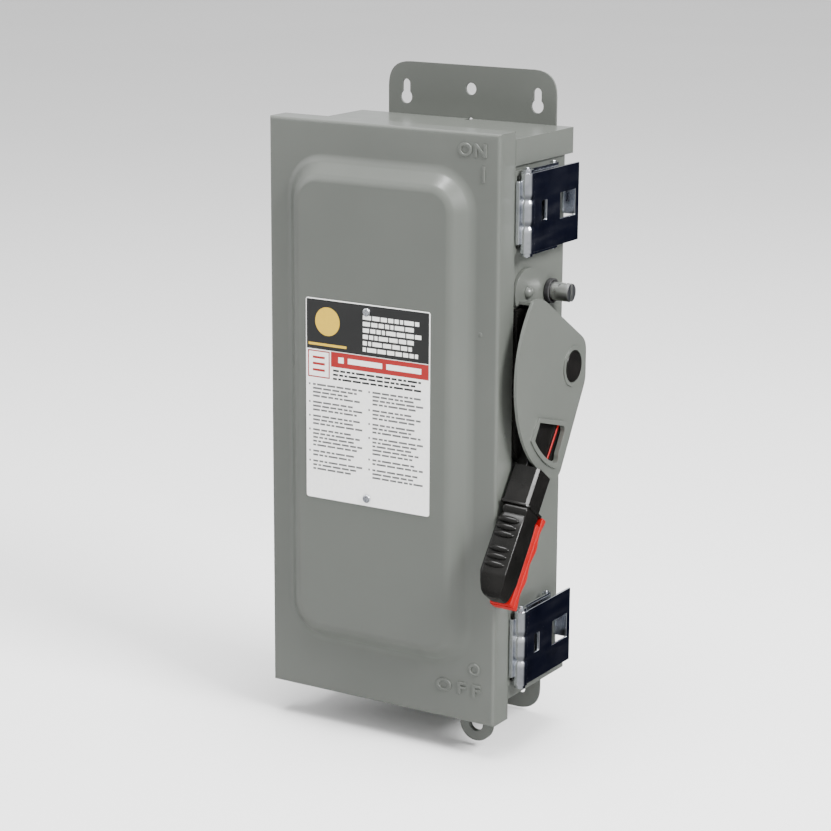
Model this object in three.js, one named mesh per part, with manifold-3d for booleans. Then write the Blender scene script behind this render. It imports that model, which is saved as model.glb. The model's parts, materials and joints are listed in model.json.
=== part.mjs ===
// A wall-mounted heavy-duty disconnect switch: a sheet-steel enclosure with a hinged door, two draw
// latches, a side handle behind a fixed guard, and the switch, fuses and lugs inside.
// Millimetres. +X right, +Y towards the wall, +Z up. The origin is on the wall plane, midway between
// the two keyholes of the top mounting tab.
import * as THREE from "three";
import { mergeVertices } from "three/addons/utils/BufferGeometryUtils.js";
import Module from "manifold-3d";

const wasm = await Module();
wasm.setup();

// ---- Driving dimensions ----

const SHEET = 1.5; // enclosure steel
const GAP = 0.3; // between pieces that touch
const RUNNING = 0.5; // around pieces that turn

const BOX = {
  width: 151.3,
  height: 347.5,
  depth: 79,
  standoff: 7, // back panel to the wall
  offsetX: -4.85, // box centre from the tab centre
  topBelowOrigin: 12.5,
};
const DOOR = {
  lapLeft: 11,
  lapRight: 2.7,
  lapTop: 6.5,
  lapBottom: 14,
  flange: 18.5,
  seal: 4.5, // space between the door's inner face and the box's front edge
};
const PANEL = { left: 16, right: 18, top: 23.5, bottom: 36, rise: 10, slope: 10.2, radius: 24 };
const TAB = { width: 122, height: 35, radius: 16, bottomWidth: 113, bottomHeight: 35 };
const KEYHOLE = { spacing: 95.5, round: 4.3, slot: 2.8, slotRise: 8.5 };
const TAB_HOLE = { radius: 3.8, rise: 7.8 };
const ROOT_HOLE = { radius: 1.6 };
const CAP_LIP = { top: 16, bottom: 9, sheet: 1.5 };
const HASP = { width: 23, drop: 18.5, hole: 5, fromRight: 22 };
const HINGE = { radius: 2.6, pin: 1.3, behindFlange: 3.6, outboard: 6.4, knuckles: 9 };
const LABEL = { width: 90, height: 127.5, fromPanelCentre: -2.4, top: 108.5, sheet: 0.4, screwInset: 4.8 };
const LETTER = { height: 8, stroke: 1.3, rise: 0.5, gap: 4.4 };

const HUB = { fromWall: 19.7, belowOrigin: 156.5, shaft: 5, bore: 7, cap: 10 };
const HANDLE = {
  restDegrees: 54, // below the horizontal, pointing forwards
  armInner: 2.6, // heights above the side wall's flange plane
  armOuter: 9.6,
  armHalfWidth: 11,
  armRear: 23, // the wide part near the hub, on its rear side
  armRearEnd: 54,
  blockStart: 73,
  blockHalfWidth: 9.5,
  gripStart: 97,
  gripEnd: 155,
  gripInner: 2.2,
  gripOuter: 20,
  gripFront: 15,
  gripOuterFront: 11.5,
  gripRear: 11.5,
  hubRadius: 15,
};
const RED = { inner: 3.5, outer: 19.4, depth: 5, end: 1.8 };
const GUARD = {
  outer: 12.5, // outer face above the side wall's flange plane
  sheet: 1.9,
  radius: 71,
  rear: 17.3,
  footRadius: 15,
  rivetRadius: 3.75,
};
const WINDOW = { arc: 61.5, rim: 3, rise: 1.2 };
const LATCH = {
  height: 48,
  length: 58,
  sheet: 1.6,
  outer: 9, // outer face of the lever above the flange plane
  knuckle: 3.5,
  pin: 1.5,
  linkPivot: 60, // from the door's front face
  leverPivot: 24,
  topCentre: 48.6, // from the door's top edge
  bottomCentre: 46.5, // from the door's bottom edge
  slotWidth: 6.3,
  slotHeight: 12,
  windowWidth: 19,
  windowHeight: 15.8,
};
const STUD = {
  radius: 5.8,
  height: 13,
  beforeHub: 4.8,
  aboveHub: 47,
  slot: 2.2,
  slotDepth: 4,
  ring: 7.8,
};
const SWITCH = {
  poleSpacing: 46,
  axisFromFront: 44,
  axisBelowHub: 10,
  barRadius: 9,
  bladeThickness: 2,
  bladeWidth: 11,
  bladeReach: 40,
  bladeTail: 17,
  openDegrees: 50,
  jawSheet: 1.6,
  jawPlay: 0.4,
  baseDepth: 20,
  baseWidth: 112,
  centreX: -14,
};
const FUSE = { radius: 7.15, length: 51, ferrule: 12.7, below: 28, fromFront: 52 };
const LUG = { width: 15, depth: 16, height: 20, wire: 4, screw: 4.5 };

// ---- Places worked out from them ----

const box = {
  left: BOX.offsetX - BOX.width / 2,
  right: BOX.offsetX + BOX.width / 2,
  top: -BOX.topBelowOrigin,
  bottom: -BOX.topBelowOrigin - BOX.height,
  back: -BOX.standoff,
  front: -BOX.standoff - BOX.depth,
};
const door = {
  left: box.left - DOOR.lapLeft,
  right: box.right + DOOR.lapRight,
  top: box.top + DOOR.lapTop,
  bottom: box.bottom - DOOR.lapBottom,
  front: box.front - DOOR.seal - SHEET,
};
door.rear = door.front + DOOR.flange;
const panel = {
  left: door.left + PANEL.left,
  right: door.right - PANEL.right,
  top: door.top - PANEL.top,
  bottom: door.bottom + PANEL.bottom,
};
const hub = { y: -HUB.fromWall, z: -HUB.belowOrigin };
const side = door.right; // the plane that side hardware is measured from
const armAngle = Math.PI + THREE.MathUtils.degToRad(HANDLE.restDegrees);
const rotor = { y: door.front + SWITCH.axisFromFront, z: hub.z - SWITCH.axisBelowHub };
const innerBack = box.back - SHEET;
const poles = [-0.5, 0.5].map((k) => SWITCH.centreX + k * SWITCH.poleSpacing);
const hinge = { x: box.left - HINGE.outboard, y: door.rear + HINGE.behindFlange };
const latches = {
  upper: door.top - LATCH.topCentre,
  lower: door.bottom + LATCH.bottomCentre,
};
const stud = { y: hub.y - STUD.beforeHub, z: hub.z + STUD.aboveHub };

// ---- Materials ----

function material(color, roughness, metalness) {
  return new THREE.MeshStandardMaterial({ color, roughness, metalness });
}
const paint = () => material(0x8d918c, 0.42, 0.1);
const zinc = () => material(0xc8ccd0, 0.22, 1);
const blackPlastic = () => material(0x141412, 0.4, 0);
const redPlastic = () => material(0xd3201f, 0.45, 0);
const copper = () => material(0xb87348, 0.3, 1);
const tinned = () => material(0xc2c4c2, 0.35, 1);
const phenolic = () => material(0x2a2a2c, 0.55, 0);
const rubber = () => material(0x222222, 0.8, 0);
const paper = () => material(0xf0f0ee, 0.5, 0);

// ---- Solids ----

function solid(geometry) {
  const bare = geometry.clone();
  for (const name of Object.keys(bare.attributes)) {
    if (name !== "position") bare.deleteAttribute(name);
  }
  const merged = mergeVertices(bare, 1e-4);
  return new wasm.Manifold(
    new wasm.Mesh({
      numProp: 3,
      vertProperties: merged.attributes.position.array,
      triVerts: new Uint32Array(merged.index.array),
    }),
  );
}

// A block between two corners, in any order.
function block([ax, ay, az], [bx, by, bz]) {
  const g = new THREE.BoxGeometry(Math.abs(bx - ax), Math.abs(by - ay), Math.abs(bz - az));
  return solid(g.translate((ax + bx) / 2, (ay + by) / 2, (az + bz) / 2));
}

// A cylinder along "x", "y" or "z", between two places on that axis.
function rod(axis, radius, from, to, [u, v], segments = 24) {
  const g = new THREE.CylinderGeometry(radius, radius, Math.abs(to - from), segments);
  const middle = (from + to) / 2;
  if (axis === "x") g.rotateZ(-Math.PI / 2).translate(middle, u, v);
  if (axis === "y") g.translate(u, middle, v);
  if (axis === "z") g.rotateX(Math.PI / 2).translate(u, v, middle);
  return solid(g);
}

// An outline in the XZ plane, given depth along Y from y0 to y1.
function plateXZ(shape, y0, y1) {
  const outline = new THREE.Shape(outlinePoints(shape, 8));
  const g = new THREE.ExtrudeGeometry(outline, { depth: y1 - y0, bevelEnabled: false });
  return solid(g.rotateX(Math.PI / 2).translate(0, y1, 0));
}

// An outline in the YZ plane, given depth along X from x0 to x1.
function plateYZ(shape, x0, x1) {
  const outline = new THREE.Shape(outlinePoints(shape, 10));
  const g = new THREE.ExtrudeGeometry(outline, { depth: x1 - x0, bevelEnabled: false });
  return solid(g.rotateX(Math.PI / 2).rotateZ(Math.PI / 2).translate(x0, 0, 0));
}

function roundedRect(x0, y0, x1, y1, r, Kind = THREE.Shape) {
  const s = new Kind();
  s.moveTo(x0 + r, y0);
  s.lineTo(x1 - r, y0);
  s.absarc(x1 - r, y0 + r, r, -Math.PI / 2, 0);
  s.lineTo(x1, y1 - r);
  s.absarc(x1 - r, y1 - r, r, 0, Math.PI / 2);
  s.lineTo(x0 + r, y1);
  s.absarc(x0 + r, y1 - r, r, Math.PI / 2, Math.PI);
  s.lineTo(x0, y0 + r);
  s.absarc(x0 + r, y0 + r, r, Math.PI, 1.5 * Math.PI);
  return s;
}

function polygon(points) {
  return new THREE.Shape(points.map(([u, v]) => new THREE.Vector2(u, v)));
}

// An outline's points with those closer together than a hundredth of a millimetre dropped.
function outlinePoints(shape, segments) {
  const points = shape.getPoints(segments);
  return points.filter((p, i) => p.distanceTo(points.at(i - 1)) > 0.01);
}

// A closed polygon whose corners are rounded by the third number of each point.
function roundedPolygon(points) {
  const s = new THREE.Shape();
  points.forEach(([u, v, r], i) => {
    const here = new THREE.Vector2(u, v);
    const [before, after] = [points.at(i - 1), points[(i + 1) % points.length]];
    const back = new THREE.Vector2(before[0], before[1]).sub(here);
    const on = new THREE.Vector2(after[0], after[1]).sub(here);
    const reach = Math.min(r, back.length() * 0.48, on.length() * 0.48);
    const a = here.clone().addScaledVector(back.normalize(), reach);
    const b = here.clone().addScaledVector(on.normalize(), reach);
    if (i === 0) s.moveTo(a.x, a.y);
    else s.lineTo(a.x, a.y);
    if (reach > 0) s.quadraticCurveTo(here.x, here.y, b.x, b.y);
  });
  s.closePath();
  return s;
}

// A solid swept between two outlines of the same number of points, one on each Y plane.
function loft(outlineA, yA, outlineB, yB) {
  const count = outlineA.length;
  const positions = [...outlineA.map((p) => [p.x, yA, p.y]), ...outlineB.map((p) => [p.x, yB, p.y])];
  const index = [];
  const faces = THREE.ShapeUtils.triangulateShape(outlineA, []);
  for (const [a, b, c] of faces) index.push(a, b, c, count + a, count + c, count + b);
  for (let i = 0; i < count; i++) {
    const j = (i + 1) % count;
    index.push(i, count + i, j, j, count + i, count + j);
  }
  const g = new THREE.BufferGeometry();
  g.setAttribute("position", new THREE.Float32BufferAttribute(positions.flat(), 3));
  g.setIndex(index);
  const made = solid(g);
  return made.volume() > 0 ? made : solid(flipped(g));
}

function flipped(geometry) {
  const g = geometry.clone();
  const a = g.index.array;
  for (let i = 0; i < a.length; i += 3) [a[i + 1], a[i + 2]] = [a[i + 2], a[i + 1]];
  return g;
}

const root = new THREE.Group();

function add(name, made, look) {
  const mesh = made.getMesh();
  const g = new THREE.BufferGeometry();
  g.setAttribute("position", new THREE.Float32BufferAttribute(mesh.vertProperties, 3));
  g.setIndex(new THREE.BufferAttribute(mesh.triVerts, 1));
  g.computeVertexNormals();
  const node = new THREE.Mesh(g, look);
  node.name = name;
  root.add(node);
}

// A place on the handle's axis: r from the hub along it, s to its front side, as [y, z].
function alongArm(r, s = 0) {
  return [
    hub.y + r * Math.cos(armAngle) + s * Math.sin(armAngle),
    hub.z + r * Math.sin(armAngle) - s * Math.cos(armAngle),
  ];
}

// ---- Enclosure ----

function enclosureWrap() {
  const outer = block([box.left, box.front, box.bottom + GAP], [box.right, box.back, box.top - GAP]);
  const room = block(
    [box.left + SHEET, box.front - 1, box.bottom - 1],
    [box.right - SHEET, innerBack, box.top + 1],
  );
  const shaftHole = rod("x", HUB.bore, box.right - 5, box.right + 5, [hub.y, hub.z]);
  const studHole = rod("x", STUD.radius + RUNNING, box.right - 5, box.right + 5, [stud.y, stud.z]);
  return outer.subtract(room).subtract(shaftHole).subtract(studHole);
}

function keyhole(x, y0, y1) {
  const round = rod("y", KEYHOLE.round, y0, y1, [x, 0]);
  const slot = block([x - KEYHOLE.slot, y0, 0], [x + KEYHOLE.slot, y1, KEYHOLE.slotRise]);
  return round.add(slot).add(rod("y", KEYHOLE.slot, y0, y1, [x, KEYHOLE.slotRise]));
}

// The outline of an end cap's mounting tab: square at its root and rounded at its free end.
function tabOutline(width, root, end, radius) {
  const half = width / 2;
  return roundedPolygon([
    [-half, root, 0],
    [half, root, 0],
    [half, end, radius],
    [-half, end, radius],
  ]);
}

// The flat of an end cap and its lips, which reach along the sides behind the door's flange.
function endCap(face, into, lipHeight) {
  const y0 = box.front + SHEET;
  const left = box.left - GAP - CAP_LIP.sheet;
  const right = box.right + GAP + CAP_LIP.sheet;
  const lipStart = door.rear + 2;
  const flat = block([box.left, y0, face], [box.right, lipStart + 1, face + into * SHEET]);
  const tray = block([left, lipStart, face], [right, 0, face + into * lipHeight]);
  const inside = block(
    [left + CAP_LIP.sheet, lipStart - 1, face + into * SHEET],
    [right - CAP_LIP.sheet, -SHEET, face + into * (lipHeight + 1)],
  );
  return tray.subtract(inside).add(flat);
}

function topEndCap() {
  const face = box.top + SHEET;
  const end = TAB.height - BOX.topBelowOrigin;
  const tab = plateXZ(tabOutline(TAB.width, face - CAP_LIP.top / 2, end, TAB.radius), -SHEET, 0);
  let made = endCap(face, -1, CAP_LIP.top).add(tab);
  for (const k of [-0.5, 0.5]) made = made.subtract(keyhole(k * KEYHOLE.spacing, -5, 5));
  made = made.subtract(rod("y", TAB_HOLE.radius, -5, 5, [0, TAB_HOLE.rise]));
  return made.subtract(rod("y", ROOT_HOLE.radius, -8, 5, [0, face - 0.8]));
}

// The bottom cap carries the lower tab and the rear ear of the padlock hasp.
function bottomEndCap() {
  const face = box.bottom - SHEET;
  const end = box.bottom - TAB.bottomHeight;
  const tab = plateXZ(tabOutline(TAB.bottomWidth, face + CAP_LIP.bottom / 2, end, TAB.radius), -SHEET, 0);
  let made = endCap(face, 1, CAP_LIP.bottom).add(tab);
  for (const k of [-0.5, 0.5]) {
    const at = [k * KEYHOLE.spacing * 0.9, end + KEYHOLE.round * 3];
    made = made.subtract(rod("y", KEYHOLE.slot, -5, 5, at));
  }
  const y = hasp.y + SHEET + RUNNING;
  const ear = earPlate(y, face + SHEET);
  return made.add(ear).subtract(rod("y", HASP.hole, y - 1, y + 5, [hasp.x, hasp.z]));
}

const hasp = {
  x: door.right - HASP.fromRight,
  y: door.rear - SHEET,
  z: door.bottom - HASP.drop + HASP.width / 2,
};

function earPlate(y, rootZ) {
  const half = HASP.width / 2;
  const s = new THREE.Shape();
  s.moveTo(hasp.x - half, rootZ);
  s.lineTo(hasp.x - half, hasp.z);
  s.absarc(hasp.x, hasp.z, half, Math.PI, 2 * Math.PI);
  s.lineTo(hasp.x + half, rootZ);
  s.closePath();
  return plateXZ(s, y, y + SHEET);
}

add("enclosure_wrap", enclosureWrap(), paint());
add("top_end_cap", topEndCap(), paint());
add("bottom_end_cap", bottomEndCap(), paint());

// ---- Door ----

// The raised panel's outer form, drawn inwards by the inset and lowered by the drop.
function panelForm(inset, y0, y1) {
  const at = (k) => {
    const d = inset + k * PANEL.slope;
    const r = Math.max(PANEL.radius - d, 2);
    const outline = roundedRect(panel.left + d, panel.bottom + d, panel.right - d, panel.top - d, r);
    return outlinePoints(outline, 5);
  };
  return loft(at(1), y1, at(0), y0);
}

// Strokes of a letter on a grid one letter high: bars from one corner to another, and rings.
const GLYPHS = {
  N: { width: 0.95, bars: [[0, 0, 0, 1], [0, 1, 0.95, 0], [0.95, 0, 0.95, 1]] },
  F: { width: 0.9, bars: [[0, 0, 0, 1], [0, 1, 0.9, 1], [0, 0.52, 0.75, 0.52]] },
  I: { width: 0, bars: [[0, 0, 0, 1]] },
  O: { width: 1, ring: true },
};

function glyph(letter, x, z) {
  const { height, stroke, rise } = LETTER;
  const { width, bars = [], ring } = GLYPHS[letter];
  const y0 = door.front - rise;
  const y1 = door.front + SHEET / 2;
  if (ring) {
    const at = [x + (width * height) / 2, z + height / 2];
    const outer = rod("y", height / 2, y0, y1, at, 20);
    return outer.subtract(rod("y", height / 2 - stroke, y0 - 1, y1 + 1, at, 20));
  }
  return bars
    .map(([ax, az, bx, bz]) => {
      const a = new THREE.Vector2(ax, az).multiplyScalar(height);
      const b = new THREE.Vector2(bx, bz).multiplyScalar(height);
      const g = new THREE.BoxGeometry(a.distanceTo(b) + stroke * 0.5, y1 - y0, stroke);
      g.rotateY(-Math.atan2(b.y - a.y, b.x - a.x));
      return solid(g.translate(x + (a.x + b.x) / 2, (y0 + y1) / 2, z + (a.y + b.y) / 2));
    })
    .reduce((a, b) => a.add(b));
}

function word(letters, rightEdge, z) {
  let x = rightEdge;
  let made = null;
  for (const letter of [...letters].reverse()) {
    x -= GLYPHS[letter].width * LETTER.height;
    const next = glyph(letter, x, z);
    made = made ? made.add(next) : next;
    x -= LETTER.gap;
  }
  return made;
}

function doorPan() {
  const outer = block([door.left, door.front, door.bottom], [door.right, door.rear, door.top]);
  const room = block(
    [door.left + SHEET, door.front + SHEET, door.bottom + SHEET],
    [door.right - SHEET, door.rear + 1, door.top - SHEET],
  );
  let made = outer.subtract(room);
  for (const z of Object.values(latches)) {
    const half = LATCH.height / 2 + 1;
    const [x0, x1] = [door.right - SHEET, door.right];
    const keeper = block([x0, door.rear - 1, z - half], [x1, door.rear + 8.5, z + half]);
    const slot = block([x0 - 1, door.rear + 2.6, z - half + 3], [x1 + 1, door.rear + 5.8, z + half - 3]);
    made = made.add(keeper).subtract(slot);
  }
  const ear = earPlate(hasp.y, door.bottom + SHEET);
  made = made.add(ear).subtract(rod("y", HASP.hole, hasp.y - 1, door.rear + 1, [hasp.x, hasp.z]));
  made = made.add(panelForm(0, door.front, door.front - PANEL.rise));
  made = made.subtract(panelForm(SHEET, door.front + SHEET + 0.01, door.front - PANEL.rise + SHEET));
  const right = door.right - 9.3;
  made = made.add(word("ON", right, door.top - 14.5)).add(word("I", right, door.top - 28.5));
  return made.add(word("O", right - 2, door.bottom + 32)).add(word("OFF", right, door.bottom + 17.5));
}

function gasket() {
  const y0 = door.front + SHEET + GAP;
  const y1 = box.front - GAP;
  const outer = block([box.left - 2, y0, box.bottom - 2], [box.right, y1, box.top + 2]);
  const w = 7;
  return outer.subtract(block([box.left + w, y0 - 1, box.bottom + w], [box.right - w, y1 + 1, box.top - w]));
}

const label = {
  x: (panel.left + panel.right) / 2 + LABEL.fromPanelCentre,
  top: door.top - LABEL.top,
  back: door.front - PANEL.rise - GAP / 3,
};

function labelPlate() {
  const half = LABEL.width / 2;
  const s = roundedRect(label.x - half, label.top - LABEL.height, label.x + half, label.top, 1.5);
  return plateXZ(s, label.back - LABEL.sheet, label.back);
}

// A round-headed screw or rivet: a flattened dome with a short shank behind it.
function domeHead(radius, height, segments = 16) {
  const points = [new THREE.Vector2(0, 0), new THREE.Vector2(radius, 0)];
  for (const t of [0.25, 0.5, 0.75]) {
    const a = (t * Math.PI) / 2;
    points.push(new THREE.Vector2(radius * Math.cos(a), height * Math.sin(a)));
  }
  points.push(new THREE.Vector2(0, height));
  return new THREE.LatheGeometry(points, segments);
}

function labelScrew(z) {
  const g = domeHead(2.6, 1.4).rotateX(Math.PI).translate(label.x, label.back - LABEL.sheet - GAP / 3, z);
  return solid(g);
}

const hingeSpan = [box.bottom + CAP_LIP.bottom + 1, box.top - CAP_LIP.top - 1];

// One leaf of the door hinge: a strip and every second knuckle of the barrel.
function hingeLeaf(first, strip) {
  const [z0, z1] = hingeSpan;
  const pitch = (z1 - z0) / HINGE.knuckles;
  let made = strip(z0, z1);
  for (let i = 0; i < HINGE.knuckles; i++) {
    const low = z0 + i * pitch + GAP / 2;
    const high = z0 + (i + 1) * pitch - GAP / 2;
    const around = rod("z", HINGE.radius + GAP, low - GAP, high + GAP, [hinge.x, hinge.y], 16);
    if (i % 2 !== first) made = made.subtract(around);
  }
  for (let i = first; i < HINGE.knuckles; i += 2) {
    const low = z0 + i * pitch + GAP / 2;
    const high = z0 + (i + 1) * pitch - GAP / 2;
    made = made.add(rod("z", HINGE.radius, low, high, [hinge.x, hinge.y], 16));
  }
  return made.subtract(rod("z", HINGE.pin + 0.1, z0 - 1, z1 + 1, [hinge.x, hinge.y], 16));
}

function hingeDoorLeaf() {
  const x = door.left + SHEET + GAP;
  return hingeLeaf(0, (z0, z1) => block([x, door.front + 5, z0], [x + 1.2, hinge.y, z1]));
}

function hingeBoxLeaf() {
  const x = box.left - GAP - 1.2;
  return hingeLeaf(1, (z0, z1) => {
    const strip = block([x, hinge.y - 1, z0], [x + 1.2, hinge.y + 18, z1]);
    return strip.add(block([hinge.x, hinge.y + HINGE.pin + 0.1, z0], [x + 1.2, hinge.y + HINGE.radius, z1]));
  });
}

function hingePin() {
  return rod("z", HINGE.pin, hingeSpan[0] - 2, hingeSpan[1] + 2, [hinge.x, hinge.y], 16);
}

add("door_pan", doorPan(), paint());
add("door_gasket", gasket(), rubber());
add("label_plate", labelPlate(), paper());
add("label_screw_upper", labelScrew(label.top - LABEL.screwInset), zinc());
add("label_screw_lower", labelScrew(label.top - LABEL.height + LABEL.screwInset), zinc());
add("hinge_door_leaf", hingeDoorLeaf(), zinc());
add("hinge_box_leaf", hingeBoxLeaf(), zinc());
add("hinge_pin", hingePin(), zinc());

// ---- Handle and its guard ----

// The handle's own frame: X across it, then its front side, then outwards along it from the hub.
const armMatrix = new THREE.Matrix4()
  .makeBasis(
    new THREE.Vector3(1, 0, 0),
    new THREE.Vector3(0, Math.sin(armAngle), -Math.cos(armAngle)),
    new THREE.Vector3(0, Math.cos(armAngle), Math.sin(armAngle)),
  )
  .setPosition(0, hub.y, hub.z);

// A section drawn across the handle, run along it from r0 to r1.
function alongHandle(points, r0, r1) {
  const g = new THREE.ExtrudeGeometry(polygon(points), { depth: r1 - r0, bevelEnabled: false });
  return solid(g.translate(0, 0, r0).applyMatrix4(armMatrix));
}

function handleGrip() {
  const H = HANDLE;
  const [inner, outer] = [side + H.armInner, side + H.armOuter];
  const disc = rod("x", H.hubRadius, inner, outer, [hub.y, hub.z], 32);
  const armOutline = [
    [0, H.armHalfWidth],
    [H.gripStart, H.armHalfWidth],
    [H.gripStart, -H.armHalfWidth],
    [H.armRearEnd + 8, -H.armHalfWidth],
    [H.armRearEnd, -H.armRear],
    [H.hubRadius, -H.armRear],
    [0, -H.armHalfWidth],
  ];
  const arm = plateYZ(polygon(armOutline.map(([r, s]) => alongArm(r, s))), inner, outer);
  const high = side + H.gripOuter - 1.5;
  const b = H.blockHalfWidth;
  const neck = alongHandle(
    [[inner, -b - 1], [high - 3, -b], [high, -b + 3], [high, b - 1], [high - 2, b + 1], [inner, b + 3.5]],
    H.blockStart,
    H.gripStart + 1,
  );
  const low = side + H.gripInner;
  const top = side + H.gripOuter;
  const section = (k) => [
    [low, -H.gripRear * k],
    [top - 3, -H.gripRear * k],
    [top, -H.gripRear * k + 3],
    [top, (H.gripOuterFront - 2.5) * k],
    [top - 2, H.gripOuterFront * k],
    [low, H.gripFront * k],
  ];
  const grip = alongHandle(section(1), H.gripStart, H.gripEnd - 5);
  const end = alongHandle(section(0.8), H.gripEnd - 6, H.gripEnd);
  const bore = rod("x", HUB.shaft + 0.1, inner - 1, outer + 1, [hub.y, hub.z]);
  return disc.add(arm).add(neck).add(grip).add(end).subtract(bore);
}

// The red insert backs the grip's rear side with finger hollows and turns round its end.
function gripInsert() {
  const { gripRear, gripStart, gripEnd, gripFront } = HANDLE;
  const near = -gripRear - GAP;
  const points = [];
  const waves = 3;
  const steps = 8;
  const length = gripEnd - gripStart + RED.end;
  for (let i = 0; i <= waves * steps; i++) {
    const t = i / (waves * steps);
    points.push([gripStart + t * length, near - RED.depth + 1.1 * (1 - Math.cos(2 * Math.PI * waves * t))]);
  }
  const front = gripFront * 0.2;
  points.push([gripEnd + RED.end, front], [gripEnd + GAP, front], [gripEnd + GAP, near], [gripStart, near]);
  const outline = polygon(points.map(([r, s]) => alongArm(r, s)));
  return plateYZ(outline, side + RED.inner, side + RED.outer);
}

function armStripe() {
  const s = -HANDLE.armHalfWidth;
  const x = side + HANDLE.armOuter + 0.1;
  const r0 = HANDLE.hubRadius + 6;
  return alongHandle([[x, s], [x + 0.6, s], [x + 0.6, s + 1.5], [x, s + 1.5]], r0, GUARD.radius - 3);
}

const guardFace = [side + GUARD.outer - GUARD.sheet, side + GUARD.outer];
const wallFace = box.right + GAP;
const atHub = ([y, z]) => [hub.y + y, hub.z + z];

const guardArc = [136, 249].map(THREE.MathUtils.degToRad);

// The guard's face: an arc about the hub at the front, and two straight rear edges that meet behind
// the hub, drawn from the hub in the YZ plane.
function guardOutline(inset = 0) {
  const s = new THREE.Shape();
  const r = GUARD.radius - inset;
  const at = (y, z) => atHub([y, z]);
  s.moveTo(...at(GUARD.rear - inset, -8));
  s.lineTo(...at(GUARD.rear - inset, 7));
  s.quadraticCurveTo(...at(GUARD.rear - inset, 14), ...at(10 - inset, 18 - inset));
  s.lineTo(...at(-33, 45 - inset));
  s.quadraticCurveTo(...at(-43, 51.5 - inset), ...at(r * Math.cos(guardArc[0]), r * Math.sin(guardArc[0])));
  s.absarc(hub.y, hub.z, r, ...guardArc);
  s.quadraticCurveTo(...at(-16, -70 + inset), ...at(-12 - inset, -62));
  s.lineTo(...at(GUARD.rear - 2.5 - inset, -16));
  s.quadraticCurveTo(...at(GUARD.rear - inset, -12), ...at(GUARD.rear - inset, -8));
  return s;
}

// The padlock window, over the arm's place when the handle is off.
function windowOutline(grow = 0) {
  const mid = armAngle;
  const from = mid - 0.29 - grow / 60;
  const to = mid + 0.2 + grow / 60;
  const s = new THREE.Shape();
  const r = WINDOW.arc + grow;
  s.moveTo(...atHub([r * Math.cos(from), r * Math.sin(from)]));
  s.absarc(hub.y, hub.z, r, from, to, false);
  s.quadraticCurveTo(...atHub([-19 + grow, -60 - grow]), ...atHub([-19 + grow, -52]));
  s.lineTo(...atHub([-11.5 + grow, -40]));
  s.quadraticCurveTo(...atHub([-10 + grow, -35 + grow]), ...atHub([-16, -34.5 + grow]));
  s.lineTo(...atHub([-43 - grow / 3, -27 + grow]));
  s.closePath();
  return s;
}

// Two legs stand up from the box to the guard's face. The upper foot turns out, rounded about its
// rivet, and the lower foot is square and turns in under the face.
const roundFoot = (centre) =>
  rod("x", GUARD.footRadius, wallFace, wallFace + GUARD.sheet, centre).trimByPlane([0, 0, 1], hub.z + 44.5);
const squareFoot = ([y, z]) => block([wallFace, y - 6, z - 6.5], [wallFace + GUARD.sheet, y + 6, z + 6]);
const guardFeet = [
  {
    rivet: [-36, 51],
    leg: [[-47, 45.5], [-34, 43.5], [-33.4, 45.4], [-46.7, 47.4]],
    foot: roundFoot,
    rise: 3.6,
  },
  {
    rivet: [-18.5, -55.5],
    leg: [[-25, -64], [-12.5, -62], [-12.9, -60], [-25.4, -62]],
    foot: squareFoot,
    rise: 1.8,
  },
];

function handleGuard() {
  let made = plateYZ(guardOutline(), ...guardFace);
  const rim = plateYZ(windowOutline(WINDOW.rim), guardFace[0], guardFace[1] + WINDOW.rise);
  made = made.add(rim);
  const boss = rod("x", HUB.cap + 2.6, guardFace[0], guardFace[1] + 0.8, [hub.y, hub.z], 32);
  made = made.add(boss).subtract(plateYZ(windowOutline(), side, side + 30));
  for (const { rivet, leg, foot } of guardFeet) {
    const post = plateYZ(polygon(leg.map(atHub)), wallFace, guardFace[1]);
    made = made.add(foot(atHub(rivet))).add(post);
    made = made.subtract(rod("x", 2.6, wallFace - 1, wallFace + 5, atHub(rivet), 16));
  }
  return made.subtract(rod("x", HUB.cap + GAP, side, side + 30, [hub.y, hub.z], 32));
}

function guardRivet({ rivet, rise }) {
  const [y, z] = atHub(rivet);
  const x = wallFace + GUARD.sheet + GAP / 3;
  const head = domeHead(GUARD.rivetRadius, rise).rotateZ(-Math.PI / 2).translate(x, y, z);
  const shank = rod("x", 2.4, wallFace, x + 0.5, [y, z], 12);
  return solid(head).add(shank);
}

function hubCap() {
  return rod("x", HUB.cap, side + HANDLE.armOuter + GAP, guardFace[1] + 1.1, [hub.y, hub.z], 32);
}

// The black wall plate behind the arm; its straight front edge stands behind the door's flange.
function armPlate() {
  const front = door.rear + 1 - hub.y;
  const s = new THREE.Shape();
  s.moveTo(...atHub([front, 43]));
  s.lineTo(...atHub([front, -42]));
  s.quadraticCurveTo(...atHub([front + 2, -55]), ...atHub([-34, -56]));
  s.lineTo(...atHub([12, -16]));
  s.lineTo(...atHub([12, 16]));
  s.lineTo(...atHub([-34, 43]));
  s.closePath();
  const hole = rod("x", HUB.shaft + RUNNING, side - 5, side + 5, [hub.y, hub.z]);
  return plateYZ(s, wallFace, side + HANDLE.armInner - RUNNING).subtract(hole);
}

add("handle_grip", handleGrip(), blackPlastic());
add("handle_red_insert", gripInsert(), redPlastic());
add("handle_arm_stripe", armStripe(), redPlastic());
add("handle_guard", handleGuard(), paint());
add("guard_rivet_upper", guardRivet(guardFeet[0]), paint());
add("guard_rivet_lower", guardRivet(guardFeet[1]), paint());
add("hub_cap", hubCap(), blackPlastic());
add("arm_wall_plate", armPlate(), blackPlastic());

// ---- Door latches ----

const latchY = { lever: door.front + LATCH.leverPivot, link: door.front + LATCH.linkPivot };
const latchX = { lever: side + 5.5, link: side + 3.4 };
const latchEar = 1.8;
const barrel = 2.8;

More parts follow.
